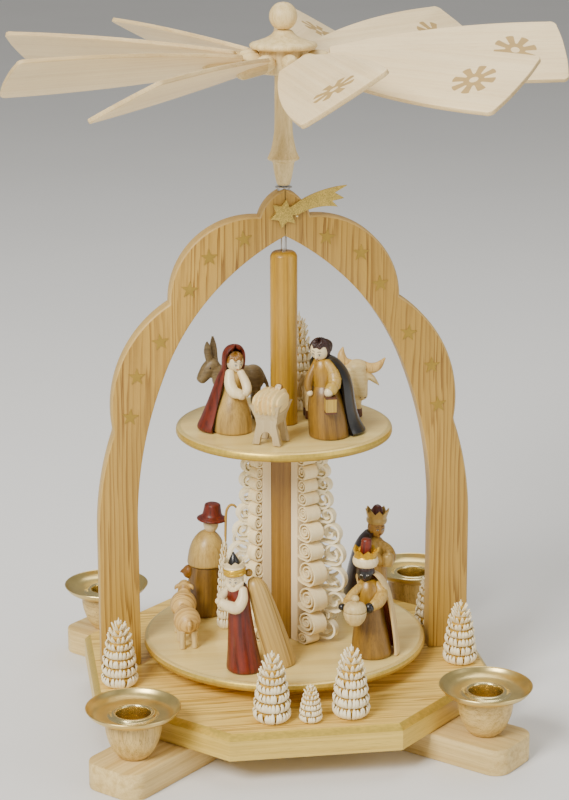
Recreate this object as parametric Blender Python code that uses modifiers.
"""Two-tier candle carousel: a wooden pyramid turned by the warm air of four candles.

Frame: origin on the ground at the centre of the base, +Z up, +X along the arch,
+Y to the back.  Metres.  MM turns the drawing's millimetres into metres.
"""
import bpy, bmesh, math
from mathutils import Vector, Matrix

for ob in list(bpy.data.objects):
    bpy.data.objects.remove(ob, do_unlink=True)
for me in list(bpy.data.meshes):
    bpy.data.meshes.remove(me)

MM = 0.001
GAP = 0.3                     # clearance between pieces that touch

# ---------------------------------------------------------------- driving dimensions (mm)
FOOT_H = 14.4                 # height of the crossing foot bars
FOOT_HALF_W = 17.5
FOOT_REACH = 149.0            # centre to the end of a bar
PLATE_APOTHEM = 106.9         # octagonal base plate, centre to the middle of a side
PLATE_Z0, PLATE_Z1 = 14.7, 28.6
PLATE_BEVEL = 3.0
CUP_PITCH = 90.9              # candle cups stand at (+-90.9, +-90.9)
SOCKET_R = 8.7                # candle socket for a 17 mm candle
TRAY_R = 24.0
ARCH_T = 12.0                 # thickness of the arch board
ARCH_Z0 = PLATE_Z1 + GAP
ROD_R = 1.6                   # steel rotor rod
ROD_BORE = 1.95
DISC1_R, DISC1_Z = 76.8, (36.3, 41.3)      # lower figure disc
DISC2_R, DISC2_Z = 57.8, (154.7, 159.7)    # upper figure disc
POST_APOTHEM = 12.4
POST_TURN = -16.3             # the rotor is stopped a little turned, degrees
COLUMN_R, COLUMN_TOP = 7.2, 253.0
WHEEL_Z = 352.7               # height of the blade pegs
WHEEL_R = 145.6               # centre to the middle of a blade's tip
BLADE_T = 2.3
BLADE_TIP_HALF, BLADE_ROOT_HALF, BLADE_BULGE = 23.3, 7.9, 4.8
BLADE_ROOT = 25.0
PEG_R, PEG_UPPER, PEG_TONGUE = 3.9, 23.0, 44.0
SHANK_R = 2.0
N_BLADES = 9
# each peg is turned and seated by hand: swing from even spacing, pitch, rise (degrees)
BLADE_FIRST = 33.5
BLADE_SET = ((3.5, 31, 1.5), (-1.5, 28.5, 1), (1, 26.5, 0), (2.5, 26.5, 0.5), (-0.5, 27.5, -1.5),
             (-3, 26.5, -2.5), (-1, 31.5, -1), (-2.5, 29.5, -1), (2, 33, 1))

# ---------------------------------------------------------------- collections and materials
parts = bpy.data.collections.new("candle_carousel")
bpy.context.scene.collection.children.link(parts)
cutters = bpy.data.collections.new("cutters")
bpy.context.scene.collection.children.link(cutters)


def material(name, rgb, rough=0.6, metal=0.0):
    m = bpy.data.materials.new(name)
    m.use_nodes = True
    b = m.node_tree.nodes["Principled BSDF"]
    b.inputs["Base Color"].default_value = (*rgb, 1.0)
    b.inputs["Roughness"].default_value = rough
    b.inputs["Metallic"].default_value = metal
    m.diffuse_color = (*rgb, 1.0)
    return m


PALE = (0.80, 0.71, 0.55)
ASH = (0.62, 0.44, 0.22)
BEECH = (0.66, 0.47, 0.32)
BROWN = (0.42, 0.24, 0.10)
GOLD = (0.55, 0.40, 0.16)


def put(ob, mat, collection=parts):
    """Give an object its own material and link it to one collection."""
    for c in list(ob.users_collection):
        c.objects.unlink(ob)
    collection.objects.link(ob)
    ob.data.materials.clear()
    ob.data.materials.append(mat)
    return ob


def shade(me, angle=35):
    me.shade_smooth()
    me.set_sharp_from_angle(angle=math.radians(angle))


def evaluated(ob, weld=0.00001):
    """The object's mesh with its modifiers applied, in its own space, welded."""
    bpy.context.view_layer.update()
    dg = bpy.context.evaluated_depsgraph_get()
    me = bpy.data.meshes.new_from_object(ob.evaluated_get(dg), depsgraph=dg)
    bm = bmesh.new()
    bm.from_mesh(me)
    bmesh.ops.remove_doubles(bm, verts=bm.verts, dist=weld)
    bmesh.ops.dissolve_degenerate(bm, dist=weld * 0.5, edges=bm.edges)
    bm.normal_update()
    bm.to_mesh(me)
    bm.free()
    return me


def fresh(name, me, matrix=None):
    ob = bpy.data.objects.new(name, me)
    cutters.objects.link(ob)
    if matrix is not None:
        ob.matrix_world = matrix
    return ob


def drop(ob):
    me = ob.data
    bpy.data.objects.remove(ob, do_unlink=True)
    if me.users == 0 and isinstance(me, bpy.types.Mesh):
        bpy.data.meshes.remove(me)


def bake(ob):
    """Replace an object by a plain mesh in world space (modifiers and transform applied)."""
    me = evaluated(ob)
    me.transform(ob.matrix_world)
    name = ob.name
    drop(ob)
    return fresh(name, me)


def turned(name, profile, segs=24, closed=False, axis_z=True):
    """A turned solid: profile of (r, z) in mm running down its outer side."""
    me = bpy.data.meshes.new(name)
    v = [(r * MM, 0, z * MM) for r, z in profile]
    e = [(i, i + 1) for i in range(len(v) - 1)]
    if closed:
        e.append((len(v) - 1, 0))
    me.from_pydata(v, e, [])
    ob = fresh(name, me)
    s = ob.modifiers.new("turn", "SCREW")
    s.angle = math.tau
    s.steps = s.render_steps = segs
    s.use_merge_vertices = True
    s.merge_threshold = 0.00001
    s.use_smooth_shade = False
    out = bake(ob)
    shade(out.data)
    return out


def rod(name, r, a, b, segs=16, r2=None):
    """A cylinder or cone between two points in mm."""
    a, b = Vector(a), Vector(b)
    d = b - a
    bm = bmesh.new()
    bmesh.ops.create_cone(bm, cap_ends=True, segments=segs, radius1=r * MM,
                          radius2=(r if r2 is None else r2) * MM, depth=d.length * MM)
    me = bpy.data.meshes.new(name)
    bm.to_mesh(me)
    bm.free()
    q = Vector((0, 0, 1)).rotation_difference(d.normalized())
    me.transform(Matrix.Translation((a + b) / 2 * MM) @ q.to_matrix().to_4x4())
    shade(me)
    return fresh(name, me)


def ball(name, centre, radii, segs=16, rings=10, turn=None):
    bm = bmesh.new()
    bmesh.ops.create_uvsphere(bm, u_segments=segs, v_segments=rings, radius=1.0)
    me = bpy.data.meshes.new(name)
    bm.to_mesh(me)
    bm.free()
    rx, ry, rz = radii if hasattr(radii, "__len__") else (radii,) * 3
    m = Matrix.Translation(Vector(centre) * MM)
    if turn is not None:
        m = m @ turn.to_4x4()
    me.transform(m @ Matrix.Diagonal((rx * MM, ry * MM, rz * MM, 1)))
    shade(me, 60)
    return fresh(name, me)


def block(name, lo, hi, taper=1.0):
    """A box; taper scales its lower face about its centre."""
    bm = bmesh.new()
    bmesh.ops.create_cube(bm, size=1.0)
    me = bpy.data.meshes.new(name)
    lo, hi = Vector(lo), Vector(hi)
    c, s = (lo + hi) / 2, hi - lo
    for v in bm.verts:
        k = taper if v.co.z < 0 else 1.0
        v.co = Vector((c.x + v.co.x * s.x * k, c.y + v.co.y * s.y * k, c.z + v.co.z * s.z)) * MM
    bm.to_mesh(me)
    bm.free()
    return fresh(name, me)


def flat(name, points, thick, z=0.0):
    """A flat outline (x, y in mm) extruded to thick, centred on z; baked to a mesh."""
    cu = bpy.data.curves.new(name, "CURVE")
    cu.dimensions = "2D"
    cu.fill_mode = "BOTH"
    cu.extrude = thick * MM / 2
    sp = cu.splines.new("POLY")
    sp.points.add(len(points) - 1)
    for p, (x, y) in zip(sp.points, points):
        p.co = (x * MM, y * MM, 0, 1)
    sp.use_cyclic_u = True
    ob = bpy.data.objects.new(name, cu)
    cutters.objects.link(ob)
    ob.location.z = z * MM
    me = evaluated(ob)
    me.transform(Matrix.Translation((0, 0, z * MM)))
    bpy.data.objects.remove(ob, do_unlink=True)
    bpy.data.curves.remove(cu)
    return fresh(name, me)


def boolean(ob, others, op="UNION"):
    """Join or cut solids in world space and give one baked mesh back."""
    for o in others:
        md = ob.modifiers.new("b", "BOOLEAN")
        md.operation = op
        md.object = o
        md.solver = "EXACT"
        ob = bake(ob)
    for o in others:
        drop(o)
    shade(ob.data)
    return ob


def arc(p0, pm, p1, n):
    """Points of the circular arc from p0 through pm to p1."""
    (ax, ay), (bx, by), (cx, cy) = p0, pm, p1
    d = 2 * (ax * (by - cy) + bx * (cy - ay) + cx * (ay - by))
    ux = ((ax * ax + ay * ay) * (by - cy) + (bx * bx + by * by) * (cy - ay) + (cx * cx + cy * cy) * (ay - by)) / d
    uy = ((ax * ax + ay * ay) * (cx - bx) + (bx * bx + by * by) * (ax - cx) + (cx * cx + cy * cy) * (bx - ax)) / d
    a0, am, a1 = (math.atan2(q[1] - uy, q[0] - ux) for q in (p0, pm, p1))
    r = math.hypot(ax - ux, ay - uy)
    span = (a1 - a0) % math.tau
    if (am - a0) % math.tau > span:
        span -= math.tau
    return [(ux + r * math.cos(a0 + span * i / n), uy + r * math.sin(a0 + span * i / n)) for i in range(n + 1)]


def finish(ob, name, mat):
    ob.name = name
    ob.data.name = name
    return put(ob, mat)


def joint_empty(name, location, z_axis=(0, 0, 1), x_axis=None, parent=None):
    e = bpy.data.objects.new(name, None)
    parts.objects.link(e)
    e.empty_display_size = 0.02
    z = Vector(z_axis).normalized()
    if x_axis is None:
        m = Vector((0, 0, 1)).rotation_difference(z).to_matrix()
    else:
        x = Vector(x_axis).normalized()
        m = Matrix((x, z.cross(x), z)).transposed()
    e.matrix_world = Matrix.Translation(Vector(location) * MM) @ m.to_4x4()
    if parent:
        e.parent = parent
        e.matrix_parent_inverse = parent.matrix_world.inverted()
    return e


def hang(ob, empty):
    """Parent a baked piece to a joint's empty, keeping its place."""
    bpy.context.view_layer.update()
    ob.data.transform(empty.matrix_world.inverted())
    ob.parent = empty
    return ob


# ---------------------------------------------------------------- static stand
stand = joint_empty("stand_origin", (0, 0, 0))


def rounded_bar(name, half_l, half_w, r, z0, z1):
    pts = []
    for cx, cy, a0 in ((half_l - r, half_w - r, 0), (-half_l + r, half_w - r, 90),
                       (-half_l + r, -half_w + r, 180), (half_l - r, -half_w + r, 270)):
        for i in range(6):
            a = math.radians(a0 + 90 * i / 5)
            pts.append((cx + r * math.cos(a), cy + r * math.sin(a)))
    return flat(name, pts, z1 - z0, (z0 + z1) / 2)


def foot_bar(name, turn, lap):
    bar = rounded_bar(name, FOOT_REACH, FOOT_HALF_W, 9.0, 0, FOOT_H)
    h = FOOT_HALF_W + GAP
    mid = FOOT_H / 2
    if lap == "upper":
        cut = block("lap", (-h, -h - 2, mid - GAP / 2), (h, h + 2, FOOT_H + 2))
    else:
        cut = block("lap", (-h, -h - 2, -2), (h, h + 2, mid + GAP / 2))
    bar = boolean(bar, [cut], "DIFFERENCE")
    bar.data.transform(Matrix.Rotation(math.radians(turn), 4, "Z"))
    return finish(bar, name, material(name, ASH, 0.55))


hang(foot_bar("foot_bar_lower", 45, "upper"), stand)
hang(foot_bar("foot_bar_upper", -45, "lower"), stand)

bm = bmesh.new()
bmesh.ops.create_cone(bm, cap_ends=True, segments=8, radius1=PLATE_APOTHEM / math.cos(math.pi / 8) * MM,
                      radius2=PLATE_APOTHEM / math.cos(math.pi / 8) * MM, depth=(PLATE_Z1 - PLATE_Z0) * MM)
bmesh.ops.rotate(bm, verts=bm.verts, matrix=Matrix.Rotation(math.pi / 8, 3, "Z"))
rim = [e for e in bm.edges if all(v.co.z > 0 for v in e.verts)]
bmesh.ops.bevel(bm, geom=rim, offset=PLATE_BEVEL * MM, segments=1, affect="EDGES")
bmesh.ops.translate(bm, verts=bm.verts, vec=(0, 0, (PLATE_Z0 + PLATE_Z1) / 2 * MM))
me = bpy.data.meshes.new("base_plate")
bm.to_mesh(me)
bm.free()
plate = boolean(fresh("base_plate", me), [rod("pocket", 6.4, (0, 0, 24.6), (0, 0, 32), 20)], "DIFFERENCE")
hang(finish(plate, "base_plate", material("base_plate", ASH, 0.5)), stand)

# bearing cup let into the plate; the rod's point runs in its cone
cup = turned("bearing_cup", [(0, 27.6), (2.6, 30.5), (3.4, 31.8), (5.4, 31.8), (6.0, 31.2), (6.0, 24.9), (0, 24.9)], 16)
hang(finish(cup, "bearing_cup", material("bearing_cup", (0.75, 0.6, 0.3), 0.3, 1.0)), stand)

for tag, sx, sy in (("front_left", -1, -1), ("front_right", 1, -1), ("back_right", 1, 1), ("back_left", -1, 1)):
    place = Matrix.Translation((sx * CUP_PITCH * MM, sy * CUP_PITCH * MM, 0))
    # egg-shaped cup with a blind bore: a ledge under the tray's sleeve, and a floor for the candle's foot
    cup = turned("candle_cup_" + tag, [(0, 23.6), (8.55, 23.6), (8.55, 24.7), (9.6, 24.7), (9.6, 35.9), (12.9, 35.9),
                                       (14.1, 34.4), (14.3, 31.6), (13.7, 26.4), (12.0, 21.2), (9.7, 17.4),
                                       (8.1, 15.6), (7.2, 14.7), (0, 14.7)], 20)
    cup.data.transform(place)
    hang(finish(cup, cup.name, material(cup.name, BEECH, 0.5)), stand)
    # pressed brass drip tray with a bead round the socket and a short sleeve
    tray = turned("candle_tray_" + tag, [(10.6, 37.8), (12.6, 37.0), (20.6, 37.4), (23.8, 41.3), (24.2, 40.8), (21.0, 36.7),
                                         (9.3, 36.2), (9.3, 25.0), (8.7, 25.0), (8.7, 37.2)], 20, closed=True)
    tray.data.transform(place)
    hang(finish(tray, tray.name, material(tray.name, (0.75, 0.6, 0.32), 0.3, 1.0)), stand)

# the arch: two mirrored halves glued on the centre line, each cut from one board
SHOULDER_C, SHOULDER_R = (16.5, 228.0), 44.5
HIP_C, HIP_R = (25.2, 171.0), 67.3
LEG_C, LEG_R = (-72.4, 103.0), 173.3
CROWN_TOP, CROWN_NOTCH = (0.15, 286.3), (13.4, 272.4)
INNER_APEX, INNER_MID, INNER_LEG = (0.15, 262.0), (64.9, 187.5), (79.4, 98.0)


def half_outline():
    def on(c, r, a0, a1, n):
        return [(c[0] + r * math.cos(math.radians(a0 + (a1 - a0) * i / n)),
                 c[1] + r * math.sin(math.radians(a0 + (a1 - a0) * i / n))) for i in range(n + 1)]
    out = arc(CROWN_TOP, (7.6, 281.9), CROWN_NOTCH, 6)
    out += on(SHOULDER_C, SHOULDER_R, 90, 0, 10)
    out += on(HIP_C, HIP_R, 57.5, -9.5, 12)
    out += on(LEG_C, LEG_R, 18.6, 0, 8)
    out += [(100.9, ARCH_Z0), (79.4, ARCH_Z0)]
    out += arc(INNER_LEG, (76.2, 146.5), INNER_MID, 8)
    out += arc(INNER_MID, (46.6, 222.0), INNER_APEX, 8)[1:]
    return out


for side, s in (("left", -1), ("right", 1)):
    pts = [(s * x, z) for x, z in half_outline()]
    if s < 0:
        pts.reverse()
    half = flat("arch_half_" + side, pts, ARCH_T)
    half.data.transform(Matrix.Rotation(math.pi / 2, 4, "X"))
    bore = rod("bore", 3.5, (0, 0, 255), (0, 0, 295), 16)
    half = boolean(half, [bore], "DIFFERENCE")
    hang(finish(half, "arch_half_" + side, material("arch_half_" + side, ASH, 0.5)), stand)

bush = turned("crown_bush", [(1.95, 287.2), (4.4, 287.2), (4.4, 286.6), (3.2, 286.6), (3.2, 266.0), (1.95, 266.0)],
              16, closed=True)
hang(finish(bush, "crown_bush", material("crown_bush", (0.6, 0.6, 0.6), 0.35, 1.0)), stand)

# comet star sawn from thin board, glued to the arch's face
STAR_C, STAR_R, STAR_IN = (-0.9, 274.0), 7.7, 4.3
star = []
for k in range(1, 12):
    a = math.radians(20 + 30 * k)
    r = STAR_IN if k % 2 else STAR_R
    star.append((STAR_C[0] + r * math.cos(a), STAR_C[1] + r * math.sin(a)))
top = arc((5.0, 279.3), (17.5, 285.3), (32.2, 288.2), 6)
low = arc((27.3, 277.1), (16.0, 277.0), (6.6, 273.6), 6)
pts = [star[0]] + star[1:] + low[::-1] + [(24.3, 280.2), (30.6, 281.5), (25.6, 284.5)] + top[::-1]
comet = flat("comet_star", pts, 2.0)
comet.data.transform(Matrix.Translation((0, -(ARCH_T / 2 + GAP + 1.0) * MM, 0)) @ Matrix.Rotation(math.pi / 2, 4, "X"))
hang(finish(comet, "comet_star", material("comet_star", GOLD, 0.7)), stand)


def ring_tree(name, x, y, z0, top, r, rings=4, segs=10, trunk=1.6):
    """A turned tree whose shavings stand out in rings that shrink to the tip."""
    h = top - z0
    prof = [(0, top)]
    for i in range(rings):
        f = (i + 1) / rings
        zr = top - h * 0.90 * f
        prof += [(r * f * 0.42 + 0.25, zr + h * 0.11), (r * (0.16 + 0.84 * f), zr)]
    prof += [(trunk, z0 + h * 0.085), (trunk, z0), (0, z0)]
    t = turned(name, prof, segs)
    t.data.transform(Matrix.Translation((x * MM, y * MM, 0)))
    return finish(t, name, material(name, PALE, 0.7))


TREE_Z = PLATE_Z1 + GAP
for name, x, y, top, r in (("front_tree_left", -20.2, -90.0, 66.7, 9.0), ("front_tree_small", -1.0, -94.0, 48.8, 5.5),
                           ("front_tree_right", 20.5, -90.3, 67.7, 9.0), ("side_tree_left", -93.0, -31.5, 66.4, 9.0),
                           ("side_tree_right", 92.0, -28.3, 64.5, 8.6), ("back_tree_right", 88.5, 29.0, 62.0, 8.4)):
    hang(ring_tree(name, x, y, TREE_Z, top, r), stand)

# ---------------------------------------------------------------- rotor
rotor = joint_empty("rotor_axis", (0, 0, 0), parent=stand)


def rotor_piece(ob, name, rgb, rough=0.55, metal=0.0):
    return hang(finish(ob, name, material(name, rgb, rough, metal)), rotor)


shaft = turned("rotor_rod", [(0, 371.0), (ROD_R, 371.0), (ROD_R, 32.6), (0.3, 28.3), (0, 28.3)], 12)
rotor_piece(shaft, "rotor_rod", (0.5, 0.5, 0.5), 0.3, 1.0)


def disc(name, r, z0, z1):
    c = 0.7
    return turned(name, [(ROD_BORE, z1), (r - c, z1), (r, z1 - c), (r, z0 + c), (r - c, z0), (ROD_BORE, z0)],
                  40, closed=True)


rotor_piece(disc("lower_disc", DISC1_R, *DISC1_Z), "lower_disc", PALE)
rotor_piece(disc("upper_disc", DISC2_R, *DISC2_Z), "upper_disc", PALE)

# lower post: an eight-sided stave, bored for the rod
c8 = math.cos(math.pi / 8)
post = turned("lower_post", [(ROD_BORE / c8, DISC2_Z[0] - GAP), (POST_APOTHEM / c8, DISC2_Z[0] - GAP),
                             (POST_APOTHEM / c8, DISC1_Z[1] + GAP), (ROD_BORE / c8, DISC1_Z[1] + GAP)], 8, closed=True)
post.data.transform(Matrix.Rotation(math.radians(POST_TURN) + math.pi / 8, 4, "Z"))
shade(post.data, 10)
rotor_piece(post, "lower_post", BROWN)

column = turned("upper_column", [(ROD_BORE, COLUMN_TOP), (5.4, COLUMN_TOP), (COLUMN_R, COLUMN_TOP - 2.6),
                                 (COLUMN_R, DISC2_Z[1] + GAP), (ROD_BORE, DISC2_Z[1] + GAP)], 18, closed=True)
rotor_piece(column, "upper_column", (0.55, 0.36, 0.16))

spindle = turned("turned_spindle", [(ROD_BORE, 345.2), (4.5, 345.2), (4.5, 322), (5.0, 313), (6.6, 306.4), (8.3, 302.4),
                                    (7.9, 301.0), (5.8, 300.2), (4.9, 294.5), (3.3, 287.9), (ROD_BORE, 287.9)],
                 16, closed=True)
rotor_piece(spindle, "turned_spindle", PALE)

# hub: a bell-shaped cap over a drum that takes the blade pegs
HUB_DRUM_R, HUB_CAP_R = 12.4, 16.3
hub = turned("hub", [(0, 367.5), (4.0, 367.3), (5.6, 366.0), (8.2, 363.8), (11.6, 361.8), (HUB_CAP_R, 360.2),
                     (HUB_CAP_R, 358.6), (HUB_DRUM_R, 357.8), (HUB_DRUM_R, 346.2), (11.6, 345.5),
                     (0, 345.5)], 27)


def blade_frame(k):
    """Radial, chord and normal axes of blade k."""
    swing, pitch, rise = (math.radians(v) for v in BLADE_SET[k])
    a = math.radians(BLADE_FIRST + 360.0 / N_BLADES * k) + swing
    e = Vector((math.cos(a) * math.cos(rise), math.sin(a) * math.cos(rise), math.sin(rise)))
    t = Vector((-math.sin(a), math.cos(a), 0))
    n = e.cross(t)
    chord = t * math.cos(pitch) + n * math.sin(pitch)
    return e, chord, e.cross(chord)


sockets = [rod("rod_bore", ROD_BORE, (0, 0, 340), (0, 0, 364), 10)]
for k in range(N_BLADES):
    e = blade_frame(k)[0]
    sockets.append(rod("socket", SHANK_R + GAP, Vector((0, 0, WHEEL_Z)) + e * 7.0,
                       Vector((0, 0, WHEEL_Z)) + e * 20, 8))
hub = boolean(hub, sockets, "DIFFERENCE")
rotor_piece(hub, "hub", PALE)

shaft_top = turned("top_ball", [(0, 381.6), (2.9, 381.1), (5.6, 379.1), (7.0, 376.4), (7.2, 373.4), (6.0, 370.3),
                                (3.2, 368.0), (0, 367.8)], 16)
rotor_piece(shaft_top, "top_ball", PALE)
rod_cap = bpy.data.objects["rotor_rod"]
for v in rod_cap.data.vertices:            # the rod ends inside the hub's blind bore
    if v.co.z > 0.365:
        v.co.z = 0.3635


def blade_outline():
    """Half-width grows from root to tip with a slight bulge; rounded corners and a soft arc at the tip."""
    rc = WHEEL_R - 1.6
    side = []
    for i in range(8):
        t = i / 7
        side.append((BLADE_ROOT + (rc - 5 - BLADE_ROOT) * t,
                     BLADE_ROOT_HALF + (BLADE_TIP_HALF - BLADE_ROOT_HALF) * t + BLADE_BULGE * 4 * t * (1 - t) * 0.95))
    corner = arc((rc - 2.6, BLADE_TIP_HALF + 0.1), (rc - 0.4, BLADE_TIP_HALF - 1.4), (rc + 0.3, BLADE_TIP_HALF - 4.0), 3)
    tip = [(WHEEL_R, 8.0), (WHEEL_R, -8.0)]
    up = side + corner
    return up + tip + [(x, -y) for x, y in reversed(up)]


def blade_mesh():
    """Thin blade glued in its peg: the peg's upper half ends early, its lower half runs on as a tongue."""
    plate_ = flat("blade", blade_outline(), BLADE_T)
    peg = turned("peg", [(0, PEG_TONGUE), (2.8, PEG_TONGUE - 1.2), (PEG_R, PEG_TONGUE - 4.0),
                         (PEG_R, HUB_DRUM_R + GAP), (SHANK_R, HUB_DRUM_R + GAP), (SHANK_R, 7.6), (0, 7.6)], 10)
    peg.data.transform(Matrix.Rotation(math.pi / 2, 4, "Y"))
    cut = block("slot", (PEG_UPPER, -6, 0.0), (PEG_TONGUE + 3, 6, 6))
    peg = boolean(peg, [cut], "DIFFERENCE")
    out = boolean(peg, [plate_], "UNION")
    return out


base_blade = blade_mesh()
blade_me = base_blade.data
base_blade.data = bpy.data.meshes.new("empty_blade")
drop(base_blade)
blade_me.name = "wheel_blade"
for k in range(N_BLADES):
    e, chord, n = blade_frame(k)
    pivot = joint_empty("blade_axis_%d" % (k + 1), Vector((0, 0, WHEEL_Z)), z_axis=n, x_axis=e, parent=rotor)
    ob = bpy.data.objects.new("wheel_blade_%d" % (k + 1), blade_me.copy())
    parts.objects.link(ob)
    ob.data.materials.clear()
    ob.data.materials.append(material(ob.name, PALE, 0.6))
    ob.parent = pivot

# ---------------------------------------------------------------- curled-shaving trees on the post's corners
TREE_LOW = ((12.7, -5.0), (18.4, -5.0), (24.5, -5.0), (27.0, 0.0), (29.5, 12.0), (27.0, 18.0), (20.5, 14.5), (12.7, 5.0))
TREE_TOP = ((12.7, -5.0), (18.4, -5.0), (20.5, -5.0), (22.0, 0.0), (23.5, 7.5), (21.5, 11.0), (17.0, 8.5), (12.7, 5.0))


def curl_tree(name, turn, flip):
    z0, z1 = (DISC1_Z[1] + GAP) * MM, (DISC2_Z[0] - GAP) * MM
    bm = bmesh.new()
    low = [bm.verts.new((x * MM, flip * y * MM, z0)) for x, y in TREE_LOW]
    top = [bm.verts.new((x * MM, flip * y * MM, z1)) for x, y in TREE_TOP]
    n = len(low)
    bm.faces.new(low)
    bm.faces.new(top)
    for i in range(n):
        bm.faces.new((low[i], low[(i + 1) % n], top[(i + 1) % n], top[i]))
    bmesh.ops.recalc_face_normals(bm, faces=bm.faces)
    me = bpy.data.meshes.new(name)
    bm.to_mesh(me)
    bm.free()
    me.transform(Matrix.Rotation(math.radians(turn), 4, "Z"))
    ob = fresh(name, me)
    return rotor_piece(ob, name, PALE, 0.7)


curl_tree("curl_tree_front_right", POST_TURN - 45, 1)
curl_tree("curl_tree_front_left", POST_TURN - 135, -1)
curl_tree("curl_tree_back_left", POST_TURN + 135, 1)
curl_tree("curl_tree_back_right", POST_TURN + 45, -1)

t = ring_tree("upper_ring_tree", 12.5, 27.0, DISC2_Z[1] + GAP, 214.5, 8.0)
hang(t, rotor)
t = ring_tree("lower_ring_tree", -31.5, 9.5, DISC1_Z[1] + GAP, 94.0, 4.2)
hang(t, rotor)

# ---------------------------------------------------------------- figures: turned bodies with glued arms and cloaks
U0 = DISC2_Z[1] + GAP
L0 = DISC1_Z[1] + GAP


def level_hem(ob, z0):
    """A cloak's hem sits level on the disc."""
    for v in ob.data.vertices:
        if v.co.z < (z0 + 0.02) * MM:
            v.co.z = z0 * MM


def body(name, x, y, prof, segs=12, lean=(0, 0)):
    """A turned body; lean shears its upper part sideways (mm per mm of height)."""
    b = turned(name, prof, segs)
    z0 = min(v.co.z for v in b.data.vertices)
    for v in b.data.vertices:
        h = v.co.z - z0
        v.co.x += x * MM + h * lean[0]
        v.co.y += y * MM + h * lean[1]
    return b


woman = body("woman", -29.0, -11.5, [(0, U0 + 33), (3.4, U0 + 32.4), (5.6, U0 + 29), (5.4, U0 + 19), (6.4, U0 + 14),
                                   (8.8, U0 + 5), (10.0, U0 + 1), (10.0, U0), (0, U0)])
woman = boolean(woman, [ball("head", (-28.2, -11.8, 198.4), (5.2, 5.2, 8.2), 12, 7),
                      rod("arm_l", 2.6, (-33.8, -12.5, 190), (-28.5, -19.5, 180.5), 10, 2.3),
                      rod("arm_r", 2.4, (-23.0, -13.5, 190), (-24.5, -20.0, 180.5), 10, 2.2),
                      rod("cloak", 9.6, (-34.5, -7.0, U0), (-28.8, -11.2, 197.0), 14, 5.4)])
level_hem(woman, U0)
rotor_piece(woman, "woman_figure", (0.7, 0.55, 0.35))

man = body("man", 19.5, -28.0, [(0, U0 + 42), (3.2, U0 + 41.6), (5.6, U0 + 38.5), (6.6, U0 + 32), (6.4, U0 + 25),
                                      (8.4, U0 + 12), (10.6, U0 + 1.5), (10.6, U0), (0, U0)], lean=(-0.05, 0))
man = boolean(man, [ball("head", (14.6, -27.6, 207.2), (5.0, 5.0, 6.2), 12, 7),
                          rod("arm", 2.6, (21.4, -30.0, 198.5), (18.6, -36.6, 188.2), 10, 2.3),
                          rod("cloak", 11.0, (24.6, -24.0, U0), (18.0, -27.2, 199.5), 14, 5.6)])
level_hem(man, U0)
rotor_piece(man, "man_figure", (0.55, 0.4, 0.2))

lantern = block("lantern", (15.2, -42.6, 175.2), (21.0, -37.2, 184.4))
rotor_piece(lantern, "lantern", (0.7, 0.6, 0.4))

manger = block("manger", (-21.5, -45.0, 170.4), (-2.4, -27.5, 183.0), 0.62)
legs = []
for y in (-42.5, -31.5):
    for s in (-1, 1):
        legs.append(rod("leg", 1.3, (-12.0 + s * 6.2, y, U0 + 1.3), (-12.0 - s * 1.0, y, 173.5), 8))
manger = boolean(manger, legs)
for v in manger.data.vertices:             # level the feet
    if v.co.z < (U0 + 0.6) * MM:
        v.co.z = U0 * MM
rotor_piece(manger, "manger", PALE)
child = turned("child", [(0, 6.6), (4.2, 5.8), (7.2, 3.2), (8.4, 0.0), (0, 0.0)], 18)
child.data.transform(Matrix.Translation((-12.0 * MM, -36.2 * MM, 183.3 * MM)) @ Matrix.Diagonal((1, 0.98, 1, 1)))
rotor_piece(child, "child_in_blanket", PALE)


def beast(name, parts_):
    first, rest = parts_[0], parts_[1:]
    return boolean(first, rest)


DX, DY = -23.0, 11.0
donkey = beast("donkey", [
    ball("trunk", (DX, DY, 182.0), (14.5, 5.6, 8.2), 10, 6),
    rod("neck", 4.6, (DX - 9, DY, 185), (DX - 14.5, DY, 193.5), 10, 3.4),
    rod("head", 3.9, (DX - 12.0, DY, 195.5), (DX - 20.5, DY, 184.5), 10, 2.3),
    rod("ear_a", 1.6, (DX - 13.6, DY - 1.8, 194.5), (DX - 14.6, DY - 2.2, 205.0), 6, 0.6),
    rod("ear_b", 1.6, (DX - 13.6, DY + 1.8, 194.5), (DX - 15.6, DY + 2.2, 204.0), 6, 0.6)] + [
    rod("leg", 1.9, (DX + dx, DY + dy, U0), (DX + dx, DY + dy, 180), 8, 2.3)
    for dx in (-10, 9) for dy in (-2.7, 2.7)])
rotor_piece(donkey, "donkey_figure", (0.3, 0.26, 0.2))

OX, OY = 27.0, 8.0
ox = beast("ox", [
    ball("trunk", (OX, OY, 179.5), (16.5, 6.2, 8.8), 10, 6),
    ball("head", (OX + 13.8, OY - 1.2, 184.5), (5.0, 5.2, 8.4), 9, 6),
    rod("horn_r", 1.9, (OX + 17.0, OY - 1.0, 186.0), (OX + 27.0, OY - 2.2, 191.5), 7, 0.5),
    rod("horn_l", 1.9, (OX + 10.2, OY - 1.0, 188.0), (OX + 6.6, OY + 1.0, 197.0), 7, 0.5),
    rod("ear", 1.8, (OX + 16.0, OY - 1.6, 182.5), (OX + 23.0, OY - 2.0, 178.5), 6, 0.6)] + [
    rod("leg", 2.2, (OX + dx, OY + dy, U0), (OX + dx, OY + dy, 178), 8, 2.6)
    for dx in (-12.5, 13.5) for dy in (-3.0, 3.0)])
rotor_piece(ox, "ox_figure", PALE)

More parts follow.
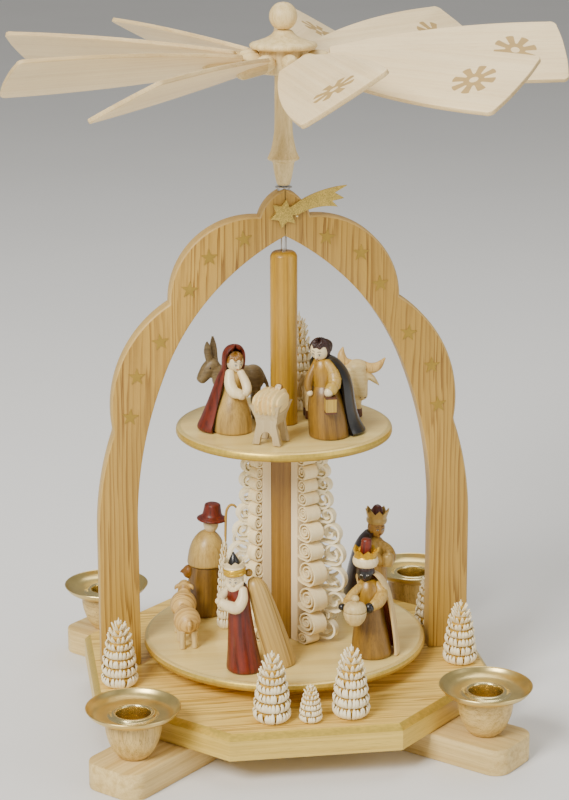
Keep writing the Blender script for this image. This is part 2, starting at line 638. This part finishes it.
shepherd = body("shepherd", -40.0, 33.5, [(0, L0 + 49), (3.0, L0 + 48.6), (6.6, L0 + 45), (8.9, L0 + 36), (9.5, L0 + 26.6),
                                          (7.6, L0 + 25.8), (8.2, L0 + 12), (9.4, L0 + 1.5), (9.4, L0), (0, L0)],
                lean=(0.045, 0))
hat = turned("hat", [(0, 15.4), (4.4, 15.0), (5.4, 9.0), (8.0, 7.2), (8.0, 6.4), (4.4, 5.6), (4.3, 0), (0, 0)], 12)
hat.data.transform(Matrix.Translation((-35.9 * MM, 33.3 * MM, 91.0 * MM)))
neck = rod("neck", 4.0, (-36.4, 33.4, 86), (-36.0, 33.3, 93), 12)
shepherd = boolean(shepherd, [hat, neck, ball("bag", (-48.6, 33.0, 66.5), (4.0, 4.0, 4.2), 8, 5)])
rotor_piece(shepherd, "shepherd_figure", (0.5, 0.35, 0.22))
stick = arc((-28.0, 101.0), (-25.6, 105.6), (-22.6, 104.0), 6)
crook_pts = [(-29.6, 46.0), (-28.8, 75.0)] + stick
cu = bpy.data.curves.new("crook", "CURVE")
cu.dimensions = "3D"
cu.bevel_depth = 0.75 * MM
cu.bevel_resolution = 1
cu.use_fill_caps = True
sp = cu.splines.new("POLY")
sp.points.add(len(crook_pts) - 1)
for p, (x, z) in zip(sp.points, crook_pts):
    p.co = (x * MM, 28.6 * MM, z * MM, 1)
ob = bpy.data.objects.new("crook", cu)
cutters.objects.link(ob)
me = evaluated(ob)
bpy.data.objects.remove(ob, do_unlink=True)
bpy.data.curves.remove(cu)
rotor_piece(fresh("crook", me), "shepherd_crook", (0.6, 0.45, 0.25))


def sheep(name, x, y, facing, head_up):
    """Barrel of a body on four short legs with the head at one end."""
    c, s = math.cos(math.radians(facing)), math.sin(math.radians(facing))
    f = Vector((c, s, 0))
    q = Vector((-s, c, 0))
    o = Vector((x, y, 0))

    def at(a, b, z):
        v = o + f * a + q * b
        return (v.x, v.y, z)
    turn = Matrix.Rotation(math.radians(facing), 3, "Z")
    ps = [ball("trunk", at(0, 0, 55.6), (9.6, 7.0, 7.6), 10, 6, turn),
          ball("head", at(10.2, 0, 60.0 + head_up), (4.6, 3.4, 4.0), 8, 5, turn)]
    if head_up > 4:
        ps.append(rod("neck", 3.4, at(6.5, 0, 57), at(9.5, 0, 61 + head_up), 8))
    for a in (-5.2, 5.2):
        for b in (-3.4, 3.4):
            ps.append(rod("leg", 1.35, at(a, b, L0), at(a, b, 53), 8))
    return boolean(ps[0], ps[1:])


rotor_piece(sheep("sheep_a", -54.5, -12.0, 118, 1.5), "sheep_front", PALE)
rotor_piece(sheep("sheep_b", -52.0, 11.0, 205, 7.0), "sheep_back", PALE)

kingl = body("kingl", -29.0, -51.5, [(0, L0 + 51), (3.4, L0 + 50.6), (5.6, L0 + 47), (6.0, L0 + 36), (6.6, L0 + 22),
                                     (8.2, L0 + 6), (8.9, L0 + 2), (8.6, L0), (0, L0)], lean=(-0.075, 0))
crown1 = turned("crown1", [(0, 22.0), (2.4, 18.6), (4.6, 17.4), (5.3, 13.0), (5.0, 9.6), (4.9, 4.0), (3.0, 0.4), (0, 0)], 11)
crown1.data.transform(Matrix.Translation((-33.4 * MM, -51.6 * MM, 84.6 * MM)))
cloak1 = rod("cloak", 7.2, (-8.0, -52.0, L0), (-25.5, -50.8, 88.0), 12, 4.2)
kingl = boolean(kingl, [crown1, cloak1, rod("arm", 3.0, (-30.0, -55.5, 82), (-38.0, -58.0, 77.0), 10)])
for v in kingl.data.vertices:              # the cloak's hem sits level on the disc
    if v.co.z < (L0 + 0.02) * MM:
        v.co.z = L0 * MM
rotor_piece(kingl, "king_red_robe", (0.45, 0.1, 0.07))

kingr = body("kingr", 40.8, -40.5, [(0, L0 + 43), (3.6, L0 + 42.6), (6.0, L0 + 38), (7.0, L0 + 27), (8.6, L0 + 14),
                                    (10.7, L0 + 1.5), (10.7, L0), (0, L0)], lean=(-0.05, 0))
crown2 = turned("crown2", [(0, 24.2), (2.2, 23.4), (2.4, 18.0), (4.8, 17.2), (6.3, 13.0), (5.6, 10.0), (4.8, 6.0),
                           (3.2, 1.2), (0, 0)], 11)
crown2.data.transform(Matrix.Translation((37.3 * MM, -40.2 * MM, 81.2 * MM)))
kingr = boolean(kingr, [crown2, rod("arm_l", 2.6, (34.0, -42.5, 79), (26.8, -46.6, 74.0), 10, 2.2),
                        rod("arm_r", 2.6, (44.0, -43.5, 79), (38.0, -49.4, 71.5), 10, 2.2),
                        rod("cloak", 11.2, (44.6, -37.6, L0), (38.4, -40.0, 84.5), 14, 6.0)])
level_hem(kingr, L0)
rotor_piece(kingr, "king_brown_robe", (0.5, 0.32, 0.15))
pot = turned("pot", [(0, 16.6), (2.2, 15.6), (2.6, 13.8), (5.0, 11.6), (6.1, 8.6), (5.9, 4.6), (4.2, 1.0), (0, 0)], 16)
pot.data.transform(Matrix.Translation((28.8 * MM, -55.6 * MM, 64.0 * MM)))
rotor_piece(pot, "gift_pot", PALE)

kingb = body("kingb", 51.5, 25.0, [(0, L0 + 43), (4.0, L0 + 42.4), (7.4, L0 + 37), (9.0, L0 + 26), (9.6, L0 + 14),
                                   (10.6, L0 + 1.5), (10.6, L0), (0, L0)], lean=(0.06, 0))
crown3 = turned("crown3", [(0, 22.4), (3.2, 21.6), (4.0, 17.6), (6.2, 17.0), (5.4, 10.6), (4.8, 5.0), (2.6, 0.4), (0, 0)], 11)
crown3.data.transform(Matrix.Translation((55.6 * MM, 25.0 * MM, 81.6 * MM)))
cape3 = ball("cape", (44.6, 26.5, 74.0), (8.6, 7.0, 17.0), 10, 6)
kingb = boolean(kingb, [crown3, cape3, rod("arm", 2.8, (56.5, 22.5, 82), (63.0, 19.5, 76.5), 10, 2.4)])
rotor_piece(kingb, "king_dark_cape", (0.35, 0.2, 0.12))

bpy.context.view_layer.update()
for ob in parts.objects:
    if ob.type == "MESH":
        shade(ob.data)
for ob in list(cutters.objects):
    ob.hide_render = True
    ob.display_type = "WIRE"
